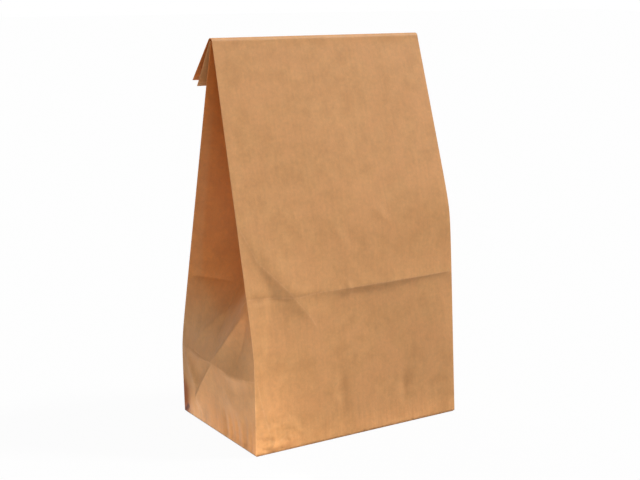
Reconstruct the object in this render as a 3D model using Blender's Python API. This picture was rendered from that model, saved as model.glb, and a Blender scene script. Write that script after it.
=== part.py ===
"""Brown kraft paper lunch bag, standing on its base with its top folded down behind it.

One folded sheet: a flat square base, a front and a back panel, and two sides that are
pleated inward. The four plies come together at the ridge, go over it, and hang down
behind the back panel as a flap that ends in the open mouth.

Metres, +Z up, the front panel faces -Y. The origin is the middle of the base.
"""

from math import cos, pi, radians, sin, sqrt

import bmesh
import bpy
from mathutils import Vector

# Driving dimensions
bag_width = 0.127
bag_depth = 0.0794
folded_height = 0.206
sheet_thickness = 0.0001

# Hard folds: the plies of the flat stack lie this far apart, middle to middle
ply_spacing = 0.0006
ridge_inner_radius = 0.0004
base_fold_radius = 0.0008

# Creases left by the flat-folded base, as heights above the floor
apex_height = bag_depth / 2
imprint_height = bag_depth

# The sides stand out a little at the apex of their creases, and the pleats only reach
# their full fold some way above it
apex_bulge = 0.003
full_pleat_height = 0.100

# Each upright fold stands nearly straight up to its knee and leans to the ridge above it
front_left_knee_height = 0.052
front_left_knee_inset = 0.0012
front_right_knee_height = 0.113
front_right_knee_inset = 0.0085
back_knee_height = apex_height
back_knee_inset = -0.0024
knee_softness = 0.008

# The ridge runs a little behind the middle of the bag
ridge_setback = 0.0036

# The flap behind the back panel: each ply's length, and its angle from straight down
outer_flap_length = 0.0278
inner_flap_length = 0.0270
outer_flap_angle = radians(40.5)
inner_flap_angle = radians(32.0)

# Shallow dent at the left of the front panel, just above its crease
dent_depth = 0.0022
dent_top = 0.114
dent_reach = 0.030
slack_margin = 0.022

# Mesh spacing
panel_columns = 20
lower_rows = 4
middle_rows = 6
upper_rows = 14
ridge_rows = 8
flap_rows = 4

kraft_brown = (0.47, 0.27, 0.13, 1.0)

half_width = bag_width / 2
half_depth = bag_depth / 2
stack_depth = 3 * ply_spacing
pleat_length = half_depth - stack_depth / 2
ridge_outer_radius = ridge_inner_radius + stack_depth
ridge_axis_height = folded_height - ridge_outer_radius


def clear_scene():
    for item in list(bpy.data.objects):
        bpy.data.objects.remove(item)


def softened_rise(distance):
    """Nothing below the knee and the full distance above it, with a soft bend between."""
    return (distance + sqrt(distance * distance + knee_softness * knee_softness)) / 2


def fold_inset(height, knee_height, knee_inset, top_inset):
    """How far an upright fold has moved in from the base's edge line at a height."""
    start = base_fold_radius
    lower_slope = knee_inset / (knee_height - start)
    upper_slope = (top_inset - knee_inset) / (ridge_axis_height - knee_height)
    bend = softened_rise(height - knee_height) - softened_rise(start - knee_height)
    return lower_slope * (height - start) + (upper_slope - lower_slope) * bend


def corner_folds(height):
    """The four upright folds at a height: front left, front right, back right, back left."""
    front_top = half_depth + ridge_setback - ridge_outer_radius
    back_top = half_depth - ridge_setback + ridge_inner_radius
    left = fold_inset(height, front_left_knee_height, front_left_knee_inset, front_top)
    right = fold_inset(height, front_right_knee_height, front_right_knee_inset, front_top)
    back = fold_inset(height, back_knee_height, back_knee_inset, back_top)
    return (
        Vector((-half_width, -half_depth + left, height)),
        Vector((half_width, -half_depth + right, height)),
        Vector((half_width, half_depth - back, height)),
        Vector((-half_width, half_depth - back, height)),
    )


def pleat_recess(depth, height):
    """How far in a side's middle fold lies when its outer folds are a depth apart."""
    reach = depth / 2 - stack_depth / 2
    full_recess = sqrt(max(pleat_length * pleat_length - reach * reach, 0))
    rise = min((height - apex_height) / (full_pleat_height - apex_height), 1)
    bulge_left = max((imprint_height - height) / (imprint_height - apex_height), 0)
    return full_recess * rise - apex_bulge * bulge_left


def side_section(depth, height):
    """A folded side as (inward, back from the front fold) points, front to back.

    Below the apex the side is a flat triangle between two slanting creases. From the
    apex up to the imprint the front half bends along one more slanting crease, and
    above it the side is a plain pleat.
    """
    front = Vector((0, ply_spacing))
    back = Vector((0, depth - ply_spacing))
    half_ply = Vector((0, ply_spacing / 2))
    if height <= apex_height:
        share = (height - base_fold_radius) / (apex_height - base_fold_radius)
        apex = Vector((-apex_bulge, depth / 2))
        front_crease = front.lerp(apex - half_ply, share)
        back_crease = back.lerp(apex + half_ply, share)
        middle = (front_crease + back_crease) / 2
    else:
        middle = Vector((pleat_recess(depth, height), depth / 2))
        back_crease = back.lerp(middle + half_ply, 0.5)
        if height < imprint_height:
            share = (imprint_height - height) / (imprint_height - apex_height)
            apex = Vector((-apex_bulge, depth / 2))
            front_crease = front.lerp(apex - half_ply, share)
        else:
            share = min((height - imprint_height) / apex_height, 1)
            front_crease = front.lerp(middle - half_ply, share / 2)
    return [front, front_crease, middle - half_ply, middle + half_ply, back_crease, back]


def dent_push(across, height):
    """How far the dent pushes the front panel back, across from its left fold."""
    if height >= dent_top or across <= 0:
        return 0
    if height >= imprint_height:
        edge = dent_reach * (dent_top - height) / (dent_top - imprint_height)
        fade = (dent_top - height) / (dent_top - imprint_height)
    else:
        edge = dent_reach * height / imprint_height
        fade = (height - base_fold_radius) / (imprint_height - base_fold_radius)
    if across >= edge:
        return 0
    middle = edge / 2
    return dent_depth * fade * (1 - abs(across - middle) / middle)


def panel_row(start, end, push):
    """Points straight across a panel from one upright fold to the other, pushed in Y."""
    points = []
    for column in range(panel_columns + 1):
        share = column / panel_columns
        point = start.lerp(end, share)
        point.y += push(share * bag_width)
        points.append(point)
    return points


def front_push(height, left_fold, right_fold):
    """The front panel's own form at a height: flat below its crease, dented beside it."""
    crease_left, crease_right = corner_folds(imprint_height)[:2]

    def push(across):
        margin = min(across, bag_width - across)
        slack = min(margin / slack_margin, 1)
        share = across / bag_width
        flat = 0
        if height < imprint_height:
            crease_line = crease_left.lerp(crease_right, share).y
            rise = (height - base_fold_radius) / (imprint_height - base_fold_radius)
            straight = -half_depth + (crease_line + half_depth) * rise
            flat = straight - left_fold.lerp(right_fold, share).y
        return slack * flat + dent_push(across, height)

    return push


def no_push(across):
    return 0


def side_row(front, back, height, inward_direction):
    """Points around a folded side, from its front upright fold to its back one."""
    across = back - front
    points = []
    for inward, along in side_section(across.length, height):
        point = front + across.normalized() * along
        point.x += inward_direction * inward
        points.append(point)
    return points


def ring(folds, height, push):
    """One closed row of points around the bag, seen from above against the clock."""
    front_left, front_right, back_right, back_left = folds
    left_side = side_row(front_left, back_left, height, 1)
    return (
        panel_row(front_left, front_right, push)
        + side_row(front_right, back_right, height, -1)
        + panel_row(back_right, back_left, no_push)
        + left_side[::-1]
    )


def base_ring():
    """The edge of the flat base, drawn in by the radius of its fold."""
    points = ring(corner_folds(base_fold_radius), base_fold_radius, no_push)
    for point in points:
        point.x *= 1 - base_fold_radius / half_width
        point.y *= 1 - base_fold_radius / half_depth
        point.z = 0
    return points


def body_heights():
    heights = []
    bands = (
        (base_fold_radius, apex_height, lower_rows),
        (apex_height, imprint_height, middle_rows),
        (imprint_height, ridge_axis_height, upper_rows),
    )
    for bottom, top, rows in bands:
        heights += [bottom + (top - bottom) * row / rows for row in range(rows)]
    return heights


def stack_folds(outer, inner):
    """The four folds where the plies lie together, from the (y, z) of two plies."""
    return (
        Vector((-half_width, *outer)),
        Vector((half_width, *outer)),
        Vector((half_width, *inner)),
        Vector((-half_width, *inner)),
    )


def ridge_rings():
    """Rows over the ridge, turning about its axis from the front to the flap."""
    axis = Vector((ridge_setback, ridge_axis_height))
    turn_end = (outer_flap_angle + inner_flap_angle) / 2
    rings = []
    for row in range(ridge_rows + 1):
        turn = pi + (turn_end - pi) * row / ridge_rows
        outward = Vector((cos(turn), sin(turn)))
        outer = axis + outward * ridge_outer_radius
        inner = axis + outward * ridge_inner_radius
        rings.append(ring(stack_folds(outer, inner), folded_height, no_push))
    return rings, outer, inner


def flap_rings(outer_start, inner_start):
    """Rows down the flap to the mouth, its plies drawing apart."""
    outer_fall = Vector((sin(outer_flap_angle), -cos(outer_flap_angle)))
    inner_fall = Vector((sin(inner_flap_angle), -cos(inner_flap_angle)))
    rings = []
    for row in range(1, flap_rows + 1):
        share = row / flap_rows
        outer = outer_start + outer_fall * (outer_flap_length * share)
        inner = inner_start + inner_fall * (inner_flap_length * share)
        rings.append(ring(stack_folds(outer, inner), folded_height, no_push))
    return rings


def bag_rings():
    rings = [base_ring()]
    for height in body_heights():
        folds = corner_folds(height)
        rings.append(ring(folds, height, front_push(height, folds[0], folds[1])))
    over_ridge, outer, inner = ridge_rings()
    return rings + over_ridge + flap_rings(outer, inner)


def kraft_paper():
    material = bpy.data.materials.new("kraft_paper")
    material.use_nodes = True
    shader = material.node_tree.nodes["Principled BSDF"]
    shader.inputs["Base Color"].default_value = kraft_brown
    shader.inputs["Roughness"].default_value = 0.8
    shader.inputs["Metallic"].default_value = 0.0
    return material


def build_bag():
    """Skin the rows into one open sheet, close its base, and give it its thickness."""
    sheet = bmesh.new()
    rows = [[sheet.verts.new(point) for point in points] for points in bag_rings()]
    sheet.faces.new(reversed(rows[0]))
    for lower, upper in zip(rows, rows[1:]):
        for index, corner in enumerate(lower):
            after = (index + 1) % len(lower)
            sheet.faces.new((corner, lower[after], upper[after], upper[index]))
    bmesh.ops.remove_doubles(sheet, verts=sheet.verts, dist=sheet_thickness / 10)
    mesh = bpy.data.meshes.new("paper_bag")
    sheet.to_mesh(mesh)
    sheet.free()
    mesh.materials.append(kraft_paper())
    bag = bpy.data.objects.new("paper_bag", mesh)
    bpy.context.collection.objects.link(bag)
    thickness = bag.modifiers.new("paper", "SOLIDIFY")
    thickness.thickness = sheet_thickness
    thickness.offset = -1
    thickness.use_even_offset = True
    return bag


clear_scene()
build_bag()
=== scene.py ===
"""Looks of a brown kraft paper lunch bag, standing closed with its top folded down behind it.

The bag is one folded sheet. Rows of points run round it from the base up to the ridge,
over the ridge and down the flap to the mouth. The creases, buckles and soft dents of
the paper are pressed into these rows.

Metres, +Z up, the front panel faces -Y. The origin is the middle of the base.
"""

from math import cos, pi, radians, sin, sqrt

import bmesh
import bpy
import numpy as np
from mathutils import Euler, Matrix, Vector, noise


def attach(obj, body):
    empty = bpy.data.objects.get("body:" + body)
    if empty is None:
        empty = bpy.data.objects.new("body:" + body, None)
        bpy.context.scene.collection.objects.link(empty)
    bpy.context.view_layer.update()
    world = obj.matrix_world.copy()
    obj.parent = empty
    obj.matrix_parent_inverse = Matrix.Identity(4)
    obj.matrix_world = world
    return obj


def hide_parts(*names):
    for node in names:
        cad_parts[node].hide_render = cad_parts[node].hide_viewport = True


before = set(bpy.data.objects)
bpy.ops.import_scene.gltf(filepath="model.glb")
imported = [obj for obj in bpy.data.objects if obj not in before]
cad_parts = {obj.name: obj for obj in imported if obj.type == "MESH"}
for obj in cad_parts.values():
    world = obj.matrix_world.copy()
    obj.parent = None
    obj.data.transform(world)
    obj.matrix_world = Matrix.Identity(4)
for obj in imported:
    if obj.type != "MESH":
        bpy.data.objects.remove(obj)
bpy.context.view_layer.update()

# The folded bag
bag_width = 0.127
bag_depth = 0.0794
folded_height = 0.206
sheet_thickness = 0.0001
ridge_inner_radius = 0.0004
base_fold_radius = 0.0008

# The plies of the flat stack lie this far apart, middle to middle, and a side starts this
# far behind the upright fold it hangs on
ply_spacing = 0.0006
fold_gap = 0.0003

# Creases left by the flat-folded base: where they meet on the sides, and where they end
apex_height = bag_depth / 2
imprint_height = bag_depth
apex_bulge = 0.003
full_pleat_height = 0.100

# Each upright fold stands nearly straight up to its knee and leans to the ridge above it
front_left_knee_height = 0.052
front_left_knee_inset = 0.0012
front_right_knee_height = 0.113
front_right_knee_inset = 0.0085
back_knee_height = apex_height
back_knee_inset = -0.0024
knee_softness = 0.008
ridge_setback = 0.0036

# The flap behind the back panel: each ply's length, and its angle from straight down
outer_flap_length = 0.0278
inner_flap_length = 0.0270
outer_flap_angle = radians(40.5)
inner_flap_angle = radians(32.0)

half_width = bag_width / 2
half_depth = bag_depth / 2
stack_depth = 3 * ply_spacing
pleat_length = half_depth - stack_depth / 2
ridge_outer_radius = ridge_inner_radius + stack_depth
ridge_axis_height = folded_height - ridge_outer_radius

# How softly the paper turns at a hard fold, at a pleat's middle and at a slanting crease
fold_softness = 0.00014
crease_softness = 0.0012
turn_steps = 3
longest_turn_share = 0.45

# Points between two folds
front_columns = 88
back_columns = 52
pleat_columns = 20

# Rows of points, from one height to the next: closer together at the sharp creases
row_bands = (
    (base_fold_radius, 0.004, 4),
    (0.004, 0.0385, 24),
    (0.0385, 0.041, 4),
    (0.041, 0.0782, 26),
    (0.0782, 0.0806, 5),
    (0.0806, 0.122, 26),
    (0.122, ridge_axis_height, 20),
)
ridge_rows = 8
flap_rows = 8


def softened_rise(distance):
    """Nothing below the knee and the full distance above it, with a soft bend between."""
    return (distance + sqrt(distance * distance + knee_softness * knee_softness)) / 2


def fold_inset(height, knee_height, knee_inset, top_inset):
    """How far an upright fold has moved in from the base's edge line at a height."""
    start = base_fold_radius
    lower_slope = knee_inset / (knee_height - start)
    upper_slope = (top_inset - knee_inset) / (ridge_axis_height - knee_height)
    bend = softened_rise(height - knee_height) - softened_rise(start - knee_height)
    return lower_slope * (height - start) + (upper_slope - lower_slope) * bend


def corner_folds(height):
    """The y of the upright folds at a height: front left, front right and back."""
    front_top = half_depth + ridge_setback - ridge_outer_radius
    back_top = half_depth - ridge_setback + ridge_inner_radius
    left = fold_inset(height, front_left_knee_height, front_left_knee_inset, front_top)
    right = fold_inset(height, front_right_knee_height, front_right_knee_inset, front_top)
    back = fold_inset(height, back_knee_height, back_knee_inset, back_top)
    return -half_depth + left, -half_depth + right, half_depth - back


def pleat_recess(depth, height):
    """How far in a side's middle fold lies when its outer folds are a depth apart."""
    reach = depth / 2 - stack_depth / 2
    full_recess = sqrt(max(pleat_length * pleat_length - reach * reach, 0))
    rise = min((height - apex_height) / (full_pleat_height - apex_height), 1)
    bulge_left = max((imprint_height - height) / (imprint_height - apex_height), 0)
    return full_recess * rise - apex_bulge * bulge_left


def side_section(depth, height):
    """A folded side's corners as (inward, back from the front fold), front to back."""
    front = Vector((0, fold_gap))
    back = Vector((0, depth - fold_gap))
    half_ply = Vector((0, ply_spacing / 2))
    apex = Vector((-apex_bulge, depth / 2))
    if height <= apex_height:
        share = (height - base_fold_radius) / (apex_height - base_fold_radius)
        front_crease = front.lerp(apex - half_ply, share)
        back_crease = back.lerp(apex + half_ply, share)
        middle = (front_crease + back_crease) / 2
    else:
        middle = Vector((pleat_recess(depth, height), depth / 2))
        back_crease = back.lerp(middle + half_ply, 0.5)
        if height < imprint_height:
            share = (imprint_height - height) / (imprint_height - apex_height)
            front_crease = front.lerp(apex - half_ply, share)
        else:
            share = min((height - imprint_height) / apex_height, 1)
            front_crease = front.lerp(middle - half_ply, share / 2)
    return [front, front_crease, middle - half_ply, middle + half_ply, back_crease, back]


def outline(front_left, front_right, back, height):
    """The bag's corners at a row as (x, place along the depth), against the clock."""
    corners = [Vector((-half_width, front_left)), Vector((half_width, front_right))]
    for inward, along in side_section(back - front_right, height):
        corners.append(Vector((half_width - inward, front_right + along)))
    corners += [Vector((half_width, back)), Vector((-half_width, back))]
    for inward, along in reversed(side_section(back - front_left, height)):
        corners.append(Vector((-half_width + inward, front_left + along)))
    return corners


# For each corner of the outline, how softly the paper turns there, and how many points
# lie between it and the next corner
hard = fold_softness
soft = crease_softness
turns = (hard, hard, hard, soft, hard, hard, soft, hard) * 2
side_columns = (pleat_columns, pleat_columns, 0, pleat_columns, pleat_columns, 0)
columns = (front_columns, 0, *side_columns, back_columns, 0, *side_columns)

# Where the corners of the panels and the first corners of the sides come in that order
front_first, front_last = 0, 1
right_first = 2
back_first, back_last = 8, 9
left_first = 10


def rounded(corners):
    """Points round an outline, its corners turned softly, always the same number."""
    count = len(corners)
    starts, ends = [], []
    for index, corner in enumerate(corners):
        before = corners[index - 1] - corner
        after = corners[(index + 1) % count] - corner
        reach = min(turns[index], longest_turn_share * min(before.length, after.length))
        starts.append(corner + before.normalized() * reach)
        ends.append(corner + after.normalized() * reach)
    points = []
    for index, corner in enumerate(corners):
        for step in range(turn_steps + 1):
            share = step / turn_steps
            near = starts[index].lerp(corner, share)
            far = corner.lerp(ends[index], share)
            points.append(near.lerp(far, share))
        run_start = ends[index]
        run_end = starts[(index + 1) % count]
        for column in range(columns[index]):
            points.append(run_start.lerp(run_end, (column + 1) / (columns[index] + 1)))
    return points


def panel_slots():
    """The place of each corner's first point in a row, and the row's length."""
    slots, first = [], 0
    for count in columns:
        slots.append(first)
        first += turn_steps + 1 + count
    return slots, first


def body_heights():
    heights = []
    for bottom, top, rows in row_bands:
        heights += [bottom + (top - bottom) * row / rows for row in range(rows)]
    return heights


def body_rows():
    rows = []
    for height in body_heights():
        left, right, back = corner_folds(height)
        points = rounded(outline(left, right, back, height))
        rows.append([(x, y, height) for x, y in points])
    return rows


def stack_row(outer, inner):
    """A row where the plies lie together, between two (y, z) places."""
    depth = (inner - outer).length
    points = rounded(outline(0, 0, depth, folded_height))
    across = (inner - outer).normalized()
    return [(x, *(outer + across * along)) for x, along in points]


def top_rows():
    """Rows over the ridge and down the flap to the mouth."""
    axis = Vector((ridge_setback, ridge_axis_height))
    turn_end = (outer_flap_angle + inner_flap_angle) / 2
    rows = []
    for row in range(ridge_rows + 1):
        turn = pi + (turn_end - pi) * row / ridge_rows
        outward = Vector((cos(turn), sin(turn)))
        outer = axis + outward * ridge_outer_radius
        inner = axis + outward * ridge_inner_radius
        rows.append(stack_row(outer, inner))
    outer_fall = Vector((sin(outer_flap_angle), -cos(outer_flap_angle)))
    inner_fall = Vector((sin(inner_flap_angle), -cos(inner_flap_angle)))
    for row in range(1, flap_rows + 1):
        share = row / flap_rows
        below_outer = outer + outer_fall * (outer_flap_length * share)
        below_inner = inner + inner_fall * (inner_flap_length * share)
        rows.append(stack_row(below_outer, below_inner))
    return rows


def crest(across, height, line, right_reach, left_reach):
    """Relief of a crease along a line of (across, height, rise) points.

    It is sharp on the line and fades out within a reach on either side, to the right and
    to the left of the line's own direction.
    """
    best = np.full_like(across, np.inf)
    relief = np.zeros_like(across)
    for (u0, v0, rise0), (u1, v1, rise1) in zip(line, line[1:]):
        du, dv = u1 - u0, v1 - v0
        share = ((across - u0) * du + (height - v0) * dv) / (du * du + dv * dv)
        share = np.clip(share, 0, 1)
        off = np.hypot(across - u0 - share * du, height - v0 - share * dv)
        side = (across - u0) * dv - (height - v0) * du
        reach = np.where(side > 0, right_reach, left_reach)
        value = (rise0 + (rise1 - rise0) * share) * np.clip(1 - off / reach, 0, 1) ** 2
        relief = np.where(off < best, value, relief)
        best = np.minimum(best, off)
    return relief


def smooth(value, start, end):
    """From 0 at start to 1 at end, with soft ends."""
    share = np.clip((value - start) / (end - start), 0, 1)
    return share * share * (3 - 2 * share)


def dent_push(across, height):
    """The shallow dent at the left of the front panel, above and below its crease."""
    above = height >= imprint_height
    up = (dent_top - height) / (dent_top - imprint_height)
    down = (height - base_fold_radius) / (imprint_height - base_fold_radius)
    edge = dent_reach * np.where(above, up, height / imprint_height)
    fade = np.where(above, up, down)
    middle = np.maximum(edge / 2, least_dent)
    shape = np.clip(1 - np.abs(across - middle) / middle, 0, 1)
    return dent_depth * np.clip(fade, 0, 1) * shape


def waviness(points, size, seed):
    """Slow unevenness of the sheet, from -1 to 1."""
    shift = Vector((seed, seed * 2, seed * 3))
    values = [noise.noise(Vector(point) / size + shift) for point in points.reshape(-1, 3)]
    return np.reshape(values, points.shape[:-1])


# The tables of creases and lines below are in millimetres
mm = 0.001

# The panels laid out side by side, each shifted by this much. The base is also raised, out of reach
# of the painted light and the marks near the floor.
front_shift = 0.0
right_shift = 0.2
back_shift = 0.4
left_shift = -0.2
base_shift = 0.6
base_rise = 0.1

# The dent at the left of the front panel
dent_depth = 0.0022
dent_top = 0.114
dent_reach = 0.030
least_dent = 1e-6

# Slow unevenness: how far it stands out, how far apart its rises lie, and which one it is
panel_wave = 0.0009
panel_wave_size = 0.045
side_wave = 0.0005
side_wave_size = 0.03
front_seed = 3
right_seed = 5
left_seed = 7
back_seed = 11

# Heights between which the relief comes in above the base fold, goes out below the ridge
# on the panels, and goes out where the plies of the sides close
foot_fade_end = 0.004
ridge_fade = (0.150, 0.196)
pleat_fade = (0.084, 0.104)

# How far from an upright fold each kind of relief reaches its full depth
front_wave_margin = 0.008
front_crease_margin = 0.004
front_flat_margin = 0.022
side_margin = 0.006
back_margin = 0.006

# Creases and buckles, each as (across, height, rise) in millimetres along a line, and
# how far it reaches to the right and to the left of that line. Across is x on a panel
# and y on a side; a positive rise stands out of the bag.
front_creases = (
    (((-50, 78.6, 0.4), (-20, 78.4, 1.2), (20, 78.9, 1.2), (64, 79.4, 0.6)), 7, 42),
    (((-20, 78.4, 0), (0, 78.4, 0.6), (20, 78.9, 0.7), (64, 79.4, 0.6)), 3.5, 14),
    (((-64, 79.4, -0.9), (-34, 77.2, -0.9), (-20, 78.4, -0.2)), 5, 4),
    (((-62.9, 114, 0.3), (-54.9, 97, 1.2), (-41.6, 83, 1.7), (-29, 68, 1.5), (-24, 61, 0)), 11, 20),
    (((-6, 86, 0), (-4, 79, 0.7), (-3, 71, 0)), 3, 3),
    (((-12.5, 117, 0), (-7, 106, 0.5), (-0.5, 93, 0)), 6, 6),
    (((12.6, 121, 0), (20, 114, 0.5), (30.7, 106, 0)), 6, 6),
    (((-10, 38, 0), (-10, 24, -1.3), (-10, 10, 0)), 6, 7),
    (((30, 34, 0), (30, 20, -1.2), (30, 8, 0)), 6, 7),
    (((-60, 40, 0), (-56, 18, 1.4), (-54, 6, 0.8)), 6, 6),
    (((-57, 9, 0.4), (-50, 5, -1.1), (-44, 8, 0)), 3.5, 3.5),
    (((-61, 8, 0.9), (-55, 3.5, 0.7), (-50, 9, 0)), 2.6, 2.6),
    (((-49, 3, 0.7), (-45, 6, 0.8), (-40, 4, 0)), 2.6, 2.6),
    (((-58, 24, 0.8), (-54, 15, -0.6), (-49, 12, 0)), 3.2, 3.2),
)
left_creases = (
    (((0.7, 39.3, 0.3), (16, 37.5, 1.8), (36, 38.2, 1.0)), 11, 8),
    (((0.7, 38.5, 0.5), (13.2, 23.7, 2.2), (19, 15, 2.2), (20.6, 6, 0)), 11, 5),
    (((36.3, 38, 0.6), (29.3, 31, 2.0), (21, 22, 1.8), (17.5, 8, 0)), 7, 12),
    (((0.7, 39.3, 0), (-8.2, 38.3, 1.2), (-20, 36.5, 2.0), (-38, 39, 0.8)), 12, 9),
    (((0.7, 40, 0.3), (-14, 55, 1.3), (-30, 72, 0.8), (-34, 77, 0)), 4, 5),
    (((-22, 46, -0.7), (-25, 55, -2.0), (-31, 68, -0.7)), 9, 9),
    (((26, 41, 0.2), (14, 53, 1.0), (2.4, 64, 1.0), (-9, 75, 0.3)), 6, 5),
    (((45, 79.4, -0.4), (15, 79.4, -1.3), (4, 79.4, 0)), 7, 4),
    (((-8, 19, 0), (-8.5, 10, -1.1), (-8.5, 2, -1.1)), 3, 3),
    (((-15, 20, 0), (-14.8, 10, -1.1), (-14.8, 2, -1.1)), 2.6, 2.6),
    (((-20.5, 22, 0), (-21, 11, -1.1), (-21, 2, -1.1)), 2.6, 2.6),
    (((-29.5, 20, 0), (-29.4, 10, -1.2), (-29.4, 2, -1.2)), 3.2, 3.2),
    (((-35.6, 19, 0), (-35.5, 9, -0.9), (-35.5, 2, -0.9)), 2.4, 2.4),
    (((38, 2, -1.6), (33, 7, 0)), 3, 3),
)
right_creases = (
    (((0.7, 39.3, 0.2), (16, 38.6, 1.0), (36, 39.2, 0.5)), 10, 10),
    (((0.7, 38.5, 0.2), (9, 26, 1.5), (14, 12, 1.2), (15, 4, 0)), 9, 6),
    (((0.7, 40, 0.2), (-16, 56, 1.0), (-32, 73, 0)), 8, 5),
    (((36, 79.4, 0), (18, 79.4, -1.0), (4, 79.4, 0)), 6, 5),
    (((-12, 19, 0), (-12.4, 9, -0.7), (-12.4, 2, 0)), 3, 3),
    (((-25, 17, 0), (-25.2, 8, -0.7), (-25.2, 2, 0)), 3, 3),
    (((26, 16, 0), (26.2, 8, -0.6), (26.2, 2, 0)), 3, 3),
)
back_creases = (
    (((-64, 39.7, 0.5), (0, 39.9, 0.9), (64, 39.7, 0.5)), 7, 7),
    (((20, 128, 0), (31, 112, 0.9), (38, 96, 0)), 8, 8),
    (((-44, 86, 0), (-30, 70, -0.9), (-22, 58, 0)), 9, 9),
    (((-14, 22, 0), (-14, 12, -0.7), (-14, 3, 0)), 6, 6),
)

# The sharpest of these lines, where the surface of the paper is worn a little paler
front_lines = (
    ((-62, 79.3), (-34, 77.2), (-20, 78.4), (20, 78.9), (63, 79.4)),
    ((-62, 113), (-54.9, 97), (-41.6, 83), (-29, 68), (-24, 61)),
    ((-62, 40), (-58, 20), (-54, 5)),
    ((-58, 9), (-50, 4.5), (-44, 9)),
    ((-63.3, 3), (-63.3, 60)),
    ((63.3, 3), (63.3, 60)),
)
left_lines = (
    ((37, 38.5), (16, 37.5), (0.7, 39)),
    ((0.7, 40), (-11, 59), (-25, 75), (-32, 79.4)),
    ((0, 38), (13, 24), (19, 14), (21, 4)),
    ((36, 39), (29, 32), (21, 22), (17.5, 8)),
    ((-38, 39), (-20, 36.5), (-6, 38.5)),
)
right_lines = (
    ((37, 39.2), (16, 38.6), (0.7, 39.3)),
    ((0.7, 40), (-16, 56), (-32, 77)),
    ((0.7, 38.5), (9, 26), (14, 12), (15, 4)),
)
back_lines = (
    ((-62, 39.7), (0, 39.9), (62, 39.7)),
    ((24, 2), (24, 198)),
)

sharp_lines = (
    (front_shift, front_lines),
    (left_shift, left_lines),
    (right_shift, right_lines),
    (back_shift, back_lines),
)

# Painted shadow in the gap where the base folds in at the back of the left side, and painted shade
# on the strip of paper above it
gap_shadow_lines = ((left_shift, (((38.6, 1.2), (34.5, 5)),)),)
shaded_strip_lines = ((left_shift, (((38.7, 1), (38.7, 13)),)),)


def pressed(across, height, creases):
    """All the creases of one panel together."""
    relief = np.zeros_like(across)
    for line, right_reach, left_reach in creases:
        in_metres = [(u * mm, v * mm, rise * mm) for u, v, rise in line]
        relief += crest(across, height, in_metres, right_reach * mm, left_reach * mm)
    return relief


def press_front(front, fade):
    """The front panel: flat below its crease, with its dent, creases and unevenness."""
    x, y, z = front[..., 0], front[..., 1], front[..., 2]
    margin = half_width - np.abs(x)
    wave = panel_wave * waviness(front, panel_wave_size, front_seed)
    relief = pressed(x, z, front_creases) + wave * smooth(margin, 0, front_wave_margin)
    relief *= fade * smooth(margin, 0, front_crease_margin)
    rise = np.clip((z - base_fold_radius) / (imprint_height - base_fold_radius), 0, 1)
    flat = -half_depth + (front_crease_line(x) + half_depth) * rise - y
    flat = np.where(z < imprint_height, flat, 0) * smooth(margin, 0, front_flat_margin)
    y += flat + dent_push(x + half_width, z) - relief


def press_side(side, fade, creases, outward, seed):
    """A folded side, whose outward way is 1 for +X and -1 for -X."""
    x, y, z = side[..., 0], side[..., 1], side[..., 2]
    margin = np.minimum(y - y.min(1, keepdims=True), y.max(1, keepdims=True) - y)
    relief = pressed(y, z, creases) + side_wave * waviness(side, side_wave_size, seed)
    x += outward * relief * fade * smooth(margin, 0, side_margin)


def press_back(back, fade):
    """The back panel, with its creases and unevenness."""
    x, y, z = back[..., 0], back[..., 1], back[..., 2]
    wave = panel_wave * waviness(back, panel_wave_size, back_seed)
    relief = pressed(x, z, back_creases) + wave
    y += relief * fade * smooth(half_width - np.abs(x), 0, back_margin)


def press_paper(sheet, slots, body_count):
    """Push the rows of the bag's body in and out along its panels."""
    body = sheet[1:body_count]
    foot_fade = smooth(body[..., 2], base_fold_radius, foot_fade_end)
    panel_fade = foot_fade * (1 - smooth(body[..., 2], *ridge_fade))
    side_fade = foot_fade * (1 - smooth(body[..., 2], *pleat_fade))
    front = slice(slots[front_first] + turn_steps, slots[right_first] - turn_steps - 1)
    right = slice(slots[right_first], slots[back_first])
    back = slice(slots[back_first] + turn_steps, slots[left_first] - turn_steps - 1)
    left = slice(slots[left_first], None)
    press_front(body[:, front], panel_fade[:, front])
    press_side(body[:, right], side_fade[:, right], right_creases, 1, right_seed)
    press_side(body[:, left], side_fade[:, left], left_creases, -1, left_seed)
    press_back(body[:, back], panel_fade[:, back])


def front_crease_line(x):
    """The y of the front panel's crease, straight from fold to fold."""
    left, right, _ = corner_folds(imprint_height)
    return left + (right - left) * (x + half_width) / bag_width


def flat_places(sheet):
    """Where each point lies on the flat sheet: round the bag, and up it."""
    closed = np.concatenate([sheet, sheet[:, :1]], axis=1)
    steps = np.linalg.norm(np.diff(closed, axis=1), axis=2)
    around = np.concatenate([np.zeros((len(sheet), 1)), steps.cumsum(axis=1)], axis=1)
    around *= 2 * (bag_width + bag_depth) / around[:, -1:]
    middle = sheet[:, front_columns // 2]
    climb = np.linalg.norm(np.diff(middle, axis=0), axis=1).cumsum()
    return around, np.concatenate([[0], climb])


def panel_axis(column, slots):
    """Which way a panel runs, x or y, and how far its places are shifted from the others."""
    if column < slots[front_last]:
        return 0, front_shift
    if column < slots[back_first]:
        return 1, right_shift
    if column < slots[back_last]:
        return 0, back_shift
    return 1, left_shift


def base_row(first_row):
    """The edge of the flat base, drawn in by the radius of its fold."""
    row = [list(point) for point in first_row]
    for point in row:
        point[0] *= 1 - base_fold_radius / half_width
        point[1] *= 1 - base_fold_radius / half_depth
        point[2] = 0
    return row


def srgb(red, green, blue):
    """A colour as the eye reads it, from 0 to 255, as a shader's linear one."""
    channels = []
    for value in (red / 255, green / 255, blue / 255):
        linear = value / 12.92 if value <= 0.04045 else ((value + 0.055) / 1.055) ** 2.4
        channels.append(linear)
    return (*channels, 1.0)


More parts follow.
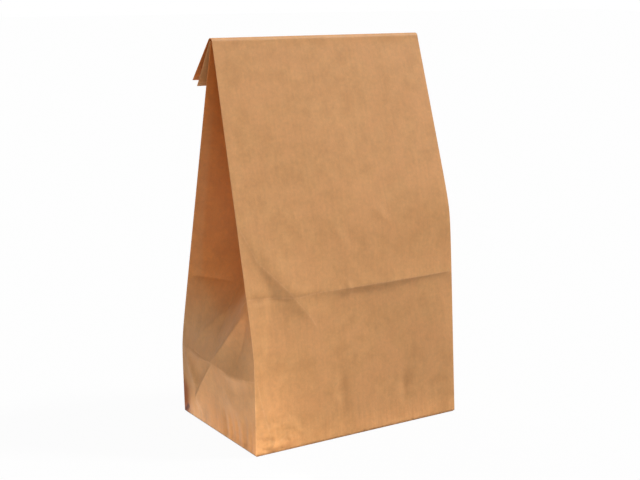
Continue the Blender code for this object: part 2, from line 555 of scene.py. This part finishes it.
class Nodes:
    """Short ways to add and join the shader nodes of a material or a world."""

    def __init__(self, owner):
        owner.use_nodes = True
        self.tree = owner.node_tree
        self.tree.nodes.clear()

    def add(self, kind, settings=(), **inputs):
        node = self.tree.nodes.new(kind)
        for key, value in dict(settings).items():
            setattr(node, key, value)
        for key, value in inputs.items():
            self.feed(node.inputs[key.replace("_", " ")], value)
        return node

    def feed(self, socket, value):
        if isinstance(value, bpy.types.NodeSocket):
            self.tree.links.new(value, socket)
        else:
            socket.default_value = value

    def math(self, operation, *values):
        node = self.tree.nodes.new("ShaderNodeMath")
        node.operation = operation
        for socket, value in zip(node.inputs, values):
            self.feed(socket, value)
        return node.outputs[0]

    def vector(self, operation, first, second=None, scale=None, output=0):
        node = self.tree.nodes.new("ShaderNodeVectorMath")
        node.operation = operation
        self.feed(node.inputs[0], first)
        if second is not None:
            self.feed(node.inputs[1], second)
        if scale is not None:
            self.feed(node.inputs["Scale"], scale)
        return node.outputs[output]

    def mix(self, share, first, second, blend="MIX"):
        node = self.tree.nodes.new("ShaderNodeMix")
        node.data_type = "RGBA"
        node.blend_type = blend
        node.clamp_factor = True
        self.feed(node.inputs[0], share)
        self.feed(node.inputs[6], first)
        self.feed(node.inputs[7], second)
        return node.outputs[2]

    def spread(self, value, low, high, to_low=0.0, to_high=1.0):
        node = self.tree.nodes.new("ShaderNodeMapRange")
        node.interpolation_type = "SMOOTHSTEP"
        for socket, number in zip(node.inputs, (value, low, high, to_low, to_high)):
            self.feed(socket, number)
        return node.outputs[0]

    def product(self, first, second):
        return self.math("MULTIPLY", first, second)

    def total(self, first, *others):
        for other in others:
            first = self.math("ADD", first, other)
        return first

    def noise(self, where, scale, detail, roughness=0.5):
        """Cloudy noise from 0 to 1, its scale in patches a metre, or one for each way."""
        if isinstance(scale, tuple):
            where = self.add("ShaderNodeMapping", Vector=where, Scale=scale).outputs[0]
            scale = 1
        return self.add(
            "ShaderNodeTexNoise", Vector=where, Scale=scale, Detail=detail, Roughness=roughness
        ).outputs["Fac"]

    def blend(self, share, first, second):
        node = self.tree.nodes.new("ShaderNodeMixShader")
        for socket, value in zip(node.inputs, (share, first.outputs[0], second.outputs[0])):
            self.feed(socket, value)
        return node

    def show(self, kind, surface):
        self.add(kind, Surface=surface.outputs[0])


def nearest_line(n, panels, lines_by_shift):
    """How far a place on the panels is from the nearest of some lines, in metres."""
    nearest = None
    for shift, lines in lines_by_shift:
        for line in lines:
            for (u0, v0), (u1, v1) in zip(line, line[1:]):
                start = Vector((u0 * mm + shift, v0 * mm, 0))
                run = Vector((u1 * mm + shift, v1 * mm, 0)) - start
                across = n.vector("SUBTRACT", panels, start)
                along = n.vector("DOT_PRODUCT", across, run / run.length_squared, output=1)
                share = n.math("MINIMUM", n.math("MAXIMUM", along, 0.0), 1.0)
                foot = n.vector("SCALE", run, scale=share)
                off = n.vector("DISTANCE", across, foot, output=1)
                nearest = off if nearest is None else n.math("MINIMUM", nearest, off)
    return nearest


# The paper's browns, where it is plain, deep in its clouds, ruddy in patches and worn pale; the
# painted shade on a strip at the foot of the left side and the painted shadow in the gap at its
# base fold; the tint of the painted shade in the pleats and the warm tint at the foot; and the
# light through it
plain_kraft = srgb(216, 162, 104)
deep_kraft = srgb(204, 149, 93)
ruddy_kraft = srgb(218, 160, 104)
worn_kraft = srgb(238, 190, 140)
# Painted shade on the strip at the back of the left side's foot, and below it the painted shadow in
# the gap
painted_strip_shade = srgb(150, 70, 10)
painted_gap_shadow = srgb(98, 44, 12)
# Painted shade: the darker, warmer brown deep in the pleats
painted_pleat_shade_tint = (1.06, 0.69, 0.34, 1)
warm_foot_tint = (0.92, 0.80, 0.58, 1)
light_through = (1.0, 0.60, 0.28, 1)
share_through = 0.2
ruddy_share = 0.6
worn_shares = (0.08, 0.3)
strip_shade_share = 0.88
gap_shadow_share = 0.9

# Scales of its patterns, in patches a metre, or in patches across and up the sheet
cloud_scale = 150
patch_scale = 60
fleck_scale = 520
crumple_scale = 120
web_scale = (700, 45, 1)
grain_scale = (2600, 900, 1)
flute_scale = (190, 26, 1)

# Where the foot of the bag gets its painted light and its marks, from full strength to none: by
# height, by distance from a mark's middle, and by place across the left side
fluted_heights = (0.003, 0.026)
painted_bounce_heights = (0.002, 0.016)
dark_edge_heights = (0.0005, 0.0026)
crumpled_corner = (-0.060, 0.004, 0.0)
crumpled_reach = (0.006, 0.030)
worn_reach = (0.0, 0.0006)
strip_shade_reach = (0.0015, 0.010)
gap_shadow_reach = (0.0004, 0.0024)
warm_foot_span = (left_shift - 0.002, left_shift + 0.022)

# The sides lie within this distance of their shift, and the panels show this share of
# the sides' fluting
side_reach = 0.05
panel_flute_share = 0.25

# How much lighter or darker each pattern, painted light or painted shade makes the colour, up and
# down or one way only
web_tone = 0.03
fleck_tone = 0.06
grain_tone = 0.045
# Painted light and shade along the flutes at the foot
painted_flute_shading_tone = 0.12
# Painted highlight on the crumples at the front left corner
painted_crumple_highlight = 0.10
# Painted light: the panels lighter at their foot, for light bounced off the floor
painted_bounce_tone = 0.17
# Darker along the bottom edge, by more or less with the flecks
dark_edge_tones = (-0.24, -0.04)


def kraft_tone(n, across, height, flecks, web, grain, painted_flute_shading, crumpled, on_panel):
    """How light each place is against the paper's plain colour, 1 being the same."""
    # Painted light bounced off the floor makes the panels lighter at their foot
    painted_bounce = n.spread(height, *painted_bounce_heights, painted_bounce_tone, 0.0)
    base_edge = n.spread(height, *dark_edge_heights, 1.0, 0.0)
    tone = n.total(
        n.spread(web, 0.25, 0.75, -web_tone, web_tone),
        n.spread(flecks, 0.25, 0.75, -fleck_tone, fleck_tone),
        n.spread(grain, 0.25, 0.75, -grain_tone, grain_tone),
        1.0,
        painted_flute_shading,
        # painted highlight on the crumples at the corner
        n.product(crumpled, painted_crumple_highlight),
        n.product(painted_bounce, on_panel),
        n.product(base_edge, n.spread(flecks, 0.3, 0.65, *dark_edge_tones)),
    )
    return n.add("ShaderNodeCombineColor", Red=tone, Green=tone, Blue=tone).outputs[0]


def kraft_material():
    """Unbleached kraft: cloudy fibres, faint streaks along the web and a slight glaze, with painted
    light and painted shade in its pleats and at its foot.
    """
    material = bpy.data.materials.new("kraft_paper")
    n = Nodes(material)
    place = n.add("ShaderNodeTexCoord").outputs["Object"]
    flat = n.add("ShaderNodeUVMap", {"uv_map": "flat_sheet"}).outputs[0]
    panels = n.add("ShaderNodeUVMap", {"uv_map": "panels"}).outputs[0]
    across, height, _ = n.add("ShaderNodeSeparateXYZ", Vector=panels).outputs

    clouds = n.noise(place, cloud_scale, 4, 0.6)
    patches = n.noise(place, patch_scale, 3)
    flecks = n.noise(place, fleck_scale, 3, 0.6)
    web = n.noise(flat, web_scale, 2)
    grain = n.noise(flat, grain_scale, 3, 0.6)
    fluting = n.noise(panels, flute_scale, 2)
    crumples = n.noise(panels, crumple_scale, 1.5)

    off_side = n.math("ABSOLUTE", n.math("SUBTRACT", n.math("ABSOLUTE", across), right_shift))
    on_side = n.math("LESS_THAN", off_side, side_reach)
    on_panel = n.math("SUBTRACT", 1.0, on_side)
    flute_share = n.total(n.product(on_side, 1 - panel_flute_share), panel_flute_share)
    fluted = n.product(n.spread(height, *fluted_heights, 1.0, 0.0), flute_share)
    corner = n.vector("DISTANCE", panels, crumpled_corner, output=1)
    at_corner = n.spread(corner, *crumpled_reach, 1.0, 0.0)
    crumpled = n.product(n.spread(crumples, 0.3, 0.7), at_corner)
    # Painted light and shade: lighter and darker streaks along the flutes at the foot
    painted_flute_shading = n.product(n.spread(fluting, 0.32, 0.68, -painted_flute_shading_tone, painted_flute_shading_tone), fluted)

    colour = n.mix(n.spread(clouds, 0.3, 0.7), deep_kraft, plain_kraft)
    colour = n.mix(n.spread(patches, 0.4, 0.65, 0, ruddy_share), colour, ruddy_kraft)
    tone = kraft_tone(n, across, height, flecks, web, grain, painted_flute_shading, crumpled, on_panel)
    colour = n.mix(1.0, colour, tone, "MULTIPLY")

    # Painted shade deep in the pleats and at their open edges: a darker, warmer brown for the shade
    # and the light bounced between the plies. At the foot of the left side the colour is also
    # tinted a warmer brown.
    painted_pleat_shade = n.add("ShaderNodeAttribute", {"attribute_name": "painted_pleat_shade"}).outputs["Fac"]
    colour = n.mix(painted_pleat_shade, colour, painted_pleat_shade_tint, "MULTIPLY")
    on_left = n.spread(across, *warm_foot_span, 1.0, 0.0)
    colour = n.mix(n.product(fluted, on_left), colour, warm_foot_tint, "MULTIPLY")

    # Worn creases are paler; the strip at the back of the left side's foot gets painted shade, and
    # the gap at its base fold a painted shadow
    worn = n.spread(nearest_line(n, panels, sharp_lines), *worn_reach, 1.0, 0.0)
    wear = n.product(worn, n.spread(flecks, 0.3, 0.6, *worn_shares))
    colour = n.mix(wear, colour, worn_kraft)
    strip_shade_mask = n.spread(nearest_line(n, panels, shaded_strip_lines), *strip_shade_reach, strip_shade_share, 0.0)
    colour = n.mix(strip_shade_mask, colour, painted_strip_shade)
    gap_shadow_mask = n.spread(nearest_line(n, panels, gap_shadow_lines), *gap_shadow_reach, gap_shadow_share, 0.0)
    colour = n.mix(gap_shadow_mask, colour, painted_gap_shadow)

    fibres = n.total(n.product(grain, 0.4), n.product(flecks, 0.6))
    fine = n.add("ShaderNodeBump", Height=fibres, Strength=0.25, Distance=0.0003)
    handled = n.total(n.product(fluting, fluted), n.product(crumpled, 0.9))
    bump = n.add(
        "ShaderNodeBump", Height=handled, Strength=0.8, Distance=0.002, Normal=fine.outputs[0]
    )
    surface = n.add(
        "ShaderNodeBsdfPrincipled",
        Normal=bump.outputs[0],
        Base_Color=colour,
        Roughness=n.spread(flecks, 0.2, 0.8, 0.5, 0.68),
        Specular_IOR_Level=0.5,
    )
    through = n.add("ShaderNodeBsdfTranslucent", Color=light_through)
    n.show("ShaderNodeOutputMaterial", n.blend(share_through, surface, through))
    return material


# How strongly each side gets the painted shade of the pleats, how far in a place counts as deep,
# how much of that painted shade a place at the open edge gets anyway, and the heights between which
# each of these comes in
right_painted_shade = 0.45
left_painted_shade = 1.0
deep_recess = 0.006
edge_painted_shade = 0.7
closing_heights = (0.150, 0.185)
pleat_heights = (0.045, 0.085)


def painted_pleat_shade_shares(sheet, slots):
    """How much painted shade each point gets deep in a pleat, where the colour is darkened to a
    warmer brown for the shade and the light bounced between the plies.
    """
    share = np.zeros(sheet.shape[:2])
    sides = (
        (slice(slots[right_first], slots[back_first]), right_painted_shade),
        (slice(slots[left_first], None), left_painted_shade),
    )
    for span, full in sides:
        x, height = sheet[:, span, 0], sheet[:, span, 2]
        deep = smooth(half_width - np.abs(x), 0.0, deep_recess)
        at_edge = edge_painted_shade + (1 - edge_painted_shade) * smooth(height, *closing_heights)
        share[:, span] = full * np.maximum(deep, at_edge) * smooth(height, *pleat_heights)
    return share


def skin_rows(maker, sheet, slots, row_length):
    """The base, and faces between the rows, each corner with its place on two layouts."""
    around, climb = flat_places(sheet)
    flat_layer = maker.loops.layers.uv.new("flat_sheet")
    panel_layer = maker.loops.layers.uv.new("panels")
    painted_shade_layer = maker.verts.layers.float.new("painted_pleat_shade")
    # Each point's share of the painted shade of the pleats
    grid = [[maker.verts.new(point) for point in row] for row in sheet]
    for row, shares in zip(grid, painted_pleat_shade_shares(sheet, slots)):
        for corner, share in zip(row, shares):
            corner[painted_shade_layer] = share
    base = maker.faces.new(reversed(grid[0]))
    for loop in base.loops:
        x, y, _ = loop.vert.co
        loop[flat_layer].uv = (x + base_shift, y)
        loop[panel_layer].uv = (x + base_shift, y + base_rise)
    for low in range(len(grid) - 1):
        for index in range(row_length):
            after = (index + 1) % row_length
            axis, shift = panel_axis(index, slots)
            corners = (
                (low, index, index),
                (low, after, index + 1),
                (low + 1, after, index + 1),
                (low + 1, index, index),
            )
            face = maker.faces.new([grid[row][column] for row, column, _ in corners])
            face.smooth = True
            for loop, (row, column, place) in zip(face.loops, corners):
                across, height = sheet[row, column, axis], sheet[row, column, 2]
                loop[flat_layer].uv = (around[row, place], climb[row])
                loop[panel_layer].uv = (across + shift, height)


def build_bag(material):
    """Skin the rows into one open sheet and give it its thickness."""
    slots, row_length = panel_slots()
    body = body_rows()
    sheet = np.array([base_row(body[0])] + body + top_rows(), float)
    press_paper(sheet, slots, 1 + len(body))
    maker = bmesh.new()
    skin_rows(maker, sheet, slots, row_length)
    bmesh.ops.remove_doubles(maker, verts=maker.verts, dist=sheet_thickness / 10)
    mesh = bpy.data.meshes.new("folded_bag")
    maker.to_mesh(mesh)
    maker.free()
    mesh.materials.append(material)
    bag = bpy.data.objects.new("folded_bag", mesh)
    bpy.context.scene.collection.objects.link(bag)
    thickness = bag.modifiers.new("paper", "SOLIDIFY")
    thickness.thickness = sheet_thickness
    thickness.offset = -1
    thickness.use_even_offset = True
    return bag


# The pale surroundings: the floor's own grey, how much of plain white the camera sees in
# it, how far it reaches, and the even light from all round
white = (1, 1, 1, 1)
floor_matt = (0.55, 0.55, 0.55, 1)
floor_white_share = 0.96
floor_reach = 6.0
even_light = 0.45


def pale_floor_material():
    """Near-white floor. The camera sees it almost white, with the bag's shadow faint."""
    material = bpy.data.materials.new("pale_floor")
    n = Nodes(material)
    matt = n.add("ShaderNodeBsdfDiffuse", Color=floor_matt)
    plain = n.add("ShaderNodeEmission", Color=white, Strength=1.0)
    seen = n.add("ShaderNodeLightPath").outputs["Is Camera Ray"]
    share = n.product(seen, floor_white_share)
    n.show("ShaderNodeOutputMaterial", n.blend(share, matt, plain))
    return material


def build_floor():
    reach = floor_reach
    corners = [(-reach, -reach, 0), (reach, -reach, 0), (reach, reach, 0), (-reach, reach, 0)]
    mesh = bpy.data.meshes.new("floor")
    mesh.from_pydata(corners, [], [(0, 1, 2, 3)])
    mesh.materials.append(pale_floor_material())
    floor = bpy.data.objects.new("floor", mesh)
    bpy.context.scene.collection.objects.link(floor)


def surround_scene():
    """Plain white to the camera, and an even light on everything else."""
    world = bpy.data.worlds.new("studio")
    n = Nodes(world)
    seen = n.add("ShaderNodeLightPath").outputs["Is Camera Ray"]
    plain = n.add("ShaderNodeBackground", Color=white, Strength=1.0)
    lit = n.add("ShaderNodeBackground", Color=white, Strength=even_light)
    n.show("ShaderNodeOutputWorld", n.blend(seen, lit, plain))
    bpy.context.scene.world = world


def add_lamp(kind, name, energy, turn, place=(0, 0, 0), **settings):
    """A lamp that shines along its own -Z, turned and placed, and not seen itself."""
    lamp = bpy.data.lights.new(name, kind)
    lamp.energy = energy
    for key, value in settings.items():
        setattr(lamp, key, value)
    holder = bpy.data.objects.new(name, lamp)
    holder.location = place
    holder.rotation_mode = "QUATERNION"
    holder.rotation_quaternion = turn
    holder.visible_camera = kind == "SUN"
    bpy.context.scene.collection.objects.link(holder)


def add_sun(name, azimuth, elevation, energy, spread):
    """A sun in degrees: azimuth from the front panel's side to the right, and up."""
    a, e = radians(azimuth), radians(elevation)
    towards = Vector((sin(a) * cos(e), -cos(a) * cos(e), sin(e)))
    add_lamp("SUN", name, energy, towards.to_track_quat("Z", "Y"), angle=radians(spread))


def light_scene():
    """A key light from the right, a soft fill from behind, and glow off the pale floor."""
    surround_scene()
    add_sun("key", azimuth=64, elevation=49, energy=3.05, spread=8)
    add_sun("back_fill", azimuth=172, elevation=36, energy=0.8, spread=40)
    upwards = Euler((pi, 0, 0)).to_quaternion()
    glow_place = (-0.088, -0.056, 0.001)
    glow_size = {"shape": "RECTANGLE", "size": 0.05, "size_y": 0.20}
    add_lamp("AREA", "floor_glow", 0.045, upwards, glow_place, **glow_size)
    to_corner = Vector((-0.004, -0.036, -0.010)).to_track_quat("Z", "Y")
    corner_place = (-0.066, -0.078, 0.003)
    corner_size = {"shape": "DISK", "size": 0.02, "color": (1.0, 0.86, 0.62)}
    add_lamp("AREA", "corner_glow", 0.008, to_corner, corner_place, **corner_size)


def place_camera():
    """The photograph's view: its place, aim, tilt and lens, for a frame of 640 by 480."""
    place = Vector((-0.3500, -0.5432, 0.2376))
    yaw, pitch, roll = radians(32.76), radians(12.26), radians(0.27)
    focal_pixels = 1227.8
    frame_width = 640
    sensor = 36.0
    ahead = Vector((sin(yaw) * cos(pitch), cos(yaw) * cos(pitch), -sin(pitch)))
    right = Vector((cos(yaw), -sin(yaw), 0))
    up = right.cross(ahead)
    turned_right = right * cos(roll) + up * sin(roll)
    turned_up = up * cos(roll) - right * sin(roll)
    lens = bpy.data.cameras.new("camera")
    lens.sensor_width = sensor
    lens.lens = focal_pixels / frame_width * sensor
    lens.clip_start = 0.01
    lens.clip_end = 50
    camera = bpy.data.objects.new("camera", lens)
    turn = Matrix((turned_right, turned_up, -ahead)).transposed().to_4x4()
    camera.matrix_world = Matrix.Translation(place) @ turn
    bpy.context.scene.collection.objects.link(camera)
    bpy.context.scene.camera = camera


bag = build_bag(kraft_material())
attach(bag, "root")
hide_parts("paper_bag")
build_floor()
light_scene()
place_camera()
bpy.context.scene.view_settings.view_transform = "Standard"
